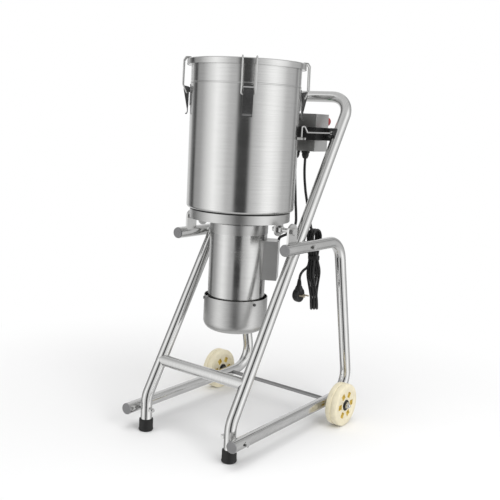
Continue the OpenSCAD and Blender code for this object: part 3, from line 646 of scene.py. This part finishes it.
# --- Control box --------------------------------------------------------------
# A folded box of satin stainless sheet behind a dark lacquered strap, with two guarded push
# buttons in its rear cover.
box_steel = steel("satin_box_sheet", "#C2C2C1", 0.26, (0.03, 0.03, 2.0), 0.25)
finish(box_steel, "control_box", "control_cover")
broken_edges(2.0, "control_box", "control_cover")
finish(dark_lacquer, "box_strap")
broken_edges(0.6, "box_strap")
finish(red, "stop_button")
finish(green, "start_button")
broken_edges(1.2, "stop_button", "start_button")


# --- Glands -------------------------------------------------------------------
# Black nylon glands screwed into the floor of the box, each a hexagon and a domed nut that
# narrows to the cord.
glands = []
gland_y, gland_z = 158, 789
for x in (66, 34):
    bpy.ops.object.select_all(action="DESELECT")
    bpy.ops.mesh.primitive_cylinder_add(
        vertices=6, radius=12.7 * mm, depth=6 * mm,
        location=(x * mm, gland_y * mm, gland_z * mm),
    )
    collar = bpy.context.object
    bpy.ops.object.transform_apply(location=True, rotation=True, scale=True)
    soften(collar, 0.7)
    nut = turned("gland_nut", [
        (3.9, 770), (6, 770), (6.9, 770.9), (8.2, 773.5), (9.6, 777), (10.2, 780), (10.2, 786.2),
        (3.9, 786.2), (3.9, 770),
    ], 36)
    settle(nut, (x, gland_y, 0))
    soften(nut, 0.3)
    glands += [collar, nut]
gland = joined(*glands)
gland.name = "cable_gland_pair"
gland.data.materials.clear()
gland.data.materials.append(black_nylon)
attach(gland, "trolley")
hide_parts("cable_glands")


# --- Tilt lock ----------------------------------------------------------------
# A bent 4 mm rod with an eye, turning on a black nylon clamp, drops in a slot between two
# fingers on the barrel.
hook_x, hook_pin_y, hook_z = 145.5, 164.6, 846
clamp_y = leg_y(hook_z)
parts = []
for centre, size, saddle in (
    ((142, clamp_y - 17, hook_z), (21, 13, 26), True),
    ((142, 172, hook_z), (3, 18, 12), False),
    ((150, 172, hook_z), (3, 18, 12), False),
):
    bpy.ops.object.select_all(action="DESELECT")
    bpy.ops.mesh.primitive_cube_add(
        size=1, location=[n * mm for n in centre], scale=[n * mm for n in size],
        rotation=(-leg_lean if saddle else 0, 0, 0),
    )
    block = bpy.context.object
    bpy.ops.object.transform_apply(location=True, rotation=True, scale=True)
    if saddle:
        bpy.ops.object.select_all(action="DESELECT")
        bpy.ops.mesh.primitive_cylinder_add(
            vertices=64, radius=tube_d / 2 * mm, depth=0.2,
            location=(leg_x * mm, clamp_y * mm, hook_z * mm), rotation=(-leg_lean, 0, 0),
        )
        bore = bpy.context.object
        pick(block)
        hollow = block.modifiers.new("bore", "BOOLEAN")
        hollow.operation = "DIFFERENCE"
        hollow.solver = "EXACT"
        hollow.object = bore
        bpy.ops.object.modifier_apply(modifier="bore")
        bpy.data.objects.remove(bore)
    soften(block, 1.2, 3)
    parts.append(block)
for x in (141.7, 150.3):
    ear = turned("ear", [(2.7, -1.5), (5.6, -1.5), (6, -1.1), (6, 1.1), (5.6, 1.5), (2.7, 1.5),
                         (2.7, -1.5)], 32)
    settle(ear, (x, hook_pin_y, hook_z), (0, 90, 0))
    parts.append(ear)
clamp = joined(*parts)
clamp.name = "saddle_clamp"
clamp.data.materials.clear()
clamp.data.materials.append(black_nylon)
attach(clamp, "trolley")
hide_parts("hook_clamp")
finish(polished, "hook_catch")
broken_edges(0.5, "hook_catch")
hook_line = bent([
    (hook_x, 161.6, hook_z), (hook_x, 38, hook_z), (hook_x, 24, 861), (hook_x, 10, 861),
    (hook_x, 10, 833),
], 4, 15)
hook_rod = round_bar("hook_rod", hook_line, wire_d * mm, 24)
hook_rod.data.materials.append(bright)
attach(hook_rod, "hook_body")
hook_eye = turned("hook_eye", [
    (2.65, -2.3), (4.6, -2.3), (5, -1.9), (5, 1.9), (4.6, 2.3), (2.65, 2.3), (2.65, -2.3),
], 32)
settle(hook_eye, (hook_x, hook_pin_y, hook_z), (0, 90, 0))
soften(hook_eye, 0.2)
hook_eye.data.materials.append(bright)
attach(hook_eye, "hook_body")
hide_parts("lock_hook")


# --- Motor lead ---------------------------------------------------------------
# A black rubber lead from the second gland to the motor, slack enough for the tilt.
lead_route = [
    (34, 158, 770), (34, 158, 752), (36, 155, 733), (41, 149.5, 712), (48, 142, 690),
    (57, 132, 668), (67, 120, 646), (78, 107, 627), (89, 93, 611), (99, 79, 598), (107, 64, 588),
    (111.5, 48, 579), (112, 33, 571), (108.5, 20, 565), (103.5, 9, 561), (99.5, 1.5, 556.5),
    (98.6, -1.5, 549.8),
]
lead = round_bar("rubber_motor_lead", curved_through(lead_route, 4), cord_d * mm)
pick(lead)
bpy.ops.object.convert(target="MESH")
lead = bpy.context.object
bpy.ops.object.shade_smooth_by_angle(angle=radians(50))
lead.data.materials.append(cord_pvc)
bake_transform(lead)
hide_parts("motor_lead")


# --- Floor and light ----------------------------------------------------------
# A plain pale floor, and a soft studio: bright walls at both sides, with a narrow dark flag
# behind the camera and more dark flags at the back.
bpy.ops.object.select_all(action="DESELECT")
bpy.ops.mesh.primitive_circle_add(vertices=96, radius=9, fill_type="NGON")
floor = bpy.context.object
floor.name = "studio_floor"
floor.visible_glossy = False
pale = bpy.data.materials.new("pale_floor")
pale.use_nodes = True
tree = pale.node_tree
tree.nodes.clear()
place = add(tree, "ShaderNodeTexCoord")
away = add(tree, "ShaderNodeVectorMath", {"operation": "LENGTH"}, {0: (place, "Object")})
fade = add(tree, "ShaderNodeMapRange", {"interpolation_type": "SMOOTHSTEP"}, {
    "Value": (away, "Value"), "From Min": 0.45, "From Max": 1.3,
})
matt = add(tree, "ShaderNodeBsdfDiffuse", None, {"Color": linear("#F4F4F4")})
white = add(tree, "ShaderNodeEmission", None, {"Color": (1, 1, 1, 1), "Strength": 1.0})
both = add(tree, "ShaderNodeMixShader", None, {
    0: (fade, "Result"), 1: (matt, "BSDF"), 2: (white, "Emission"),
})
add(tree, "ShaderNodeOutputMaterial", None, {"Surface": (both, "Shader")})
floor.data.materials.append(pale)

world = bpy.data.worlds.new("studio")
bpy.context.scene.world = world
world.use_nodes = True
tree = world.node_tree
tree.nodes.clear()
way = add(tree, "ShaderNodeTexCoord")
aside = add(tree, "ShaderNodeVectorMath", {"operation": "DOT_PRODUCT"}, {
    0: (way, "Generated"), 1: level,
})
ahead = add(tree, "ShaderNodeVectorMath", {"operation": "DOT_PRODUCT"}, {
    0: (way, "Generated"), 1: (sin(view_azimuth), -cos(view_azimuth), 0),
})
angle = add(tree, "ShaderNodeMath", {"operation": "ARCTAN2"}, {
    0: (aside, "Value"), 1: (ahead, "Value"),
})
share = add(tree, "ShaderNodeMapRange", None, {
    "Value": (angle, "Value"), "From Min": -pi, "From Max": pi,
})
walls = add(tree, "ShaderNodeValToRGB", None, {"Fac": (share, "Result")})
# Each stop is a bearing in degrees from the camera's own, and how bright the wall is there.
studio = [
    (-180, 0.8), (-146, 0.8), (-134, 0.25), (-122, 0.05), (-115, 0.45), (-98, 0.55), (-80, 1.0),
    (-60, 1.45), (-42, 1.1), (-30, 0.75), (-17, 0.68), (-11, 0.08), (11, 0.07), (18, 0.7),
    (34, 0.95), (50, 1.36), (62, 1.44), (78, 1.2), (95, 0.75), (122, 0.6), (130, 0.28),
    (138, 0.65), (146, 0.5), (151, 0.25), (160, 0.8), (180, 0.8),
]
stops = walls.color_ramp.elements
for k, (turn, glow) in enumerate(studio):
    stop = stops[k] if k < 2 else stops.new(1.0)
    stop.position = (turn + 180) / 360
    stop.color = (glow, glow, glow, 1)
height = add(tree, "ShaderNodeSeparateXYZ", None, {0: (way, "Generated")})
under = add(tree, "ShaderNodeMapRange", {"interpolation_type": "SMOOTHSTEP"}, {
    "Value": (height, "Z"), "From Min": -0.55, "From Max": -0.85,
})
over = add(tree, "ShaderNodeMapRange", {"interpolation_type": "SMOOTHSTEP"}, {
    "Value": (height, "Z"), "From Min": 0.6, "From Max": 0.85,
})
ends = add(tree, "ShaderNodeMath", {"operation": "ADD"}, {
    0: (under, "Result"), 1: (over, "Result"),
})
dome = add(tree, "ShaderNodeMix", {"data_type": "RGBA"}, {
    "Factor": (ends, "Value"), 6: (walls, "Color"), 7: (0.75, 0.75, 0.75, 1),
})
room = add(tree, "ShaderNodeBackground", None, {"Color": (dome, 2), "Strength": 1.0})
blank = add(tree, "ShaderNodeBackground", None, {"Color": (1, 1, 1, 1), "Strength": 1.0})
ray = add(tree, "ShaderNodeLightPath")
shown = add(tree, "ShaderNodeMixShader", None, {
    0: (ray, "Is Camera Ray"), 1: (room, "Background"), 2: (blank, "Background"),
})
add(tree, "ShaderNodeOutputWorld", None, {"Surface": (shown, "Shader")})

for name, place, power, size in (
    ("overhead_softbox", (0.2, -0.3, 2.6), 22, 1.6),
    ("side_softbox", (2.0, -0.6, 1.6), 14, 1.0),
):
    bpy.ops.object.select_all(action="DESELECT")
    bpy.ops.object.light_add(type="AREA", location=place)
    lamp = bpy.context.object
    lamp.name = name
    lamp.data.energy = power
    lamp.data.size = size
    lamp.visible_glossy = False
    lamp.rotation_euler = (Vector((0, 0, 0.4)) - Vector(place)).to_track_quat("-Z", "Y").to_euler()

bpy.context.scene.view_settings.view_transform = "Standard"
